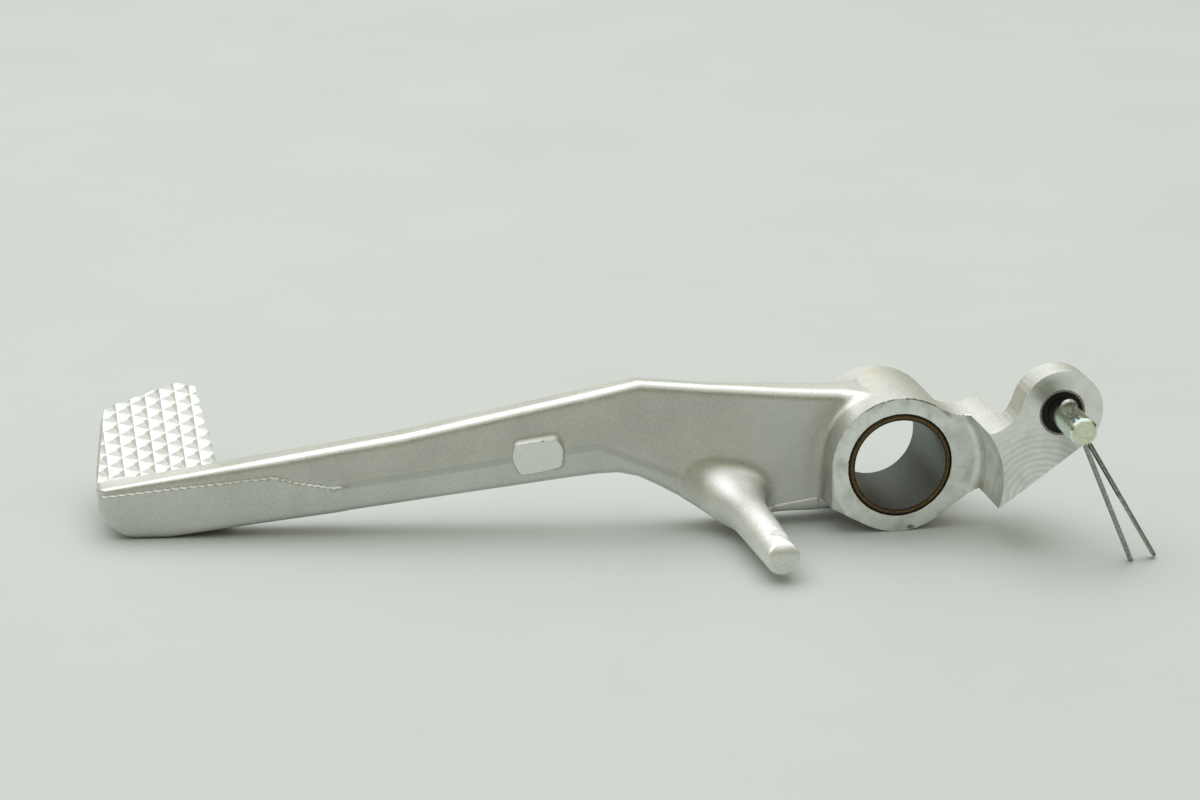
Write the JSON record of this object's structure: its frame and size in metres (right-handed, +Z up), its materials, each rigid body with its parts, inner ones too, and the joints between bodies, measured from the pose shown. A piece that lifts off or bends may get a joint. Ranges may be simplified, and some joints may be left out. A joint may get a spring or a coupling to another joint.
{
  "type": "rear brake pedal",
  "caption": "Forged aluminium motorcycle rear brake pedal: knurled toe pad, swept arm, bushed pivot hub, spring peg and an offset ear with clevis pin and split pin for the push rod.",
  "frame": {"origin": "middle of the pivot bore, on its axis and half-way between the hub's two faces", "axes": "+Y along the pivot bore to the outboard side that the toe pad stands on, +X from the toe to the push-rod ear, +Z up as the pedal rests and as it is fitted"},
  "size_m": [0.2191, 0.099, 0.0396],
  "materials": {
    "forged_aluminium": "bead-blasted forging with a fine sparkle, machined bright at the hub and ear",
    "bush_bronze": "brown bronze edge with a speckled dark grey lining in the bore",
    "bush_lining": "thin plain metal shell round a black lining",
    "zinc_steel": "zinc plated, pale yellow-green at the end and bluish on the shank",
    "split_pin_steel": "dull grey drawn wire"
  },
  "bodies": {
    "lever": {"pedal_lever": "forged_aluminium", "pivot_bush": "bush_bronze", "eye_bush": "bush_lining"},
    "pin": {"clevis_pin": "zinc_steel", "split_pin": "split_pin_steel"}
  },
  "joints": [
    {"name": "clevis_pin_turn", "type": "hinge", "parent": "lever", "child": "pin", "pos_m": [0.0305, -0.0384, 0.0148], "axis": [0, 1, 0], "continuous": true}
  ]
}
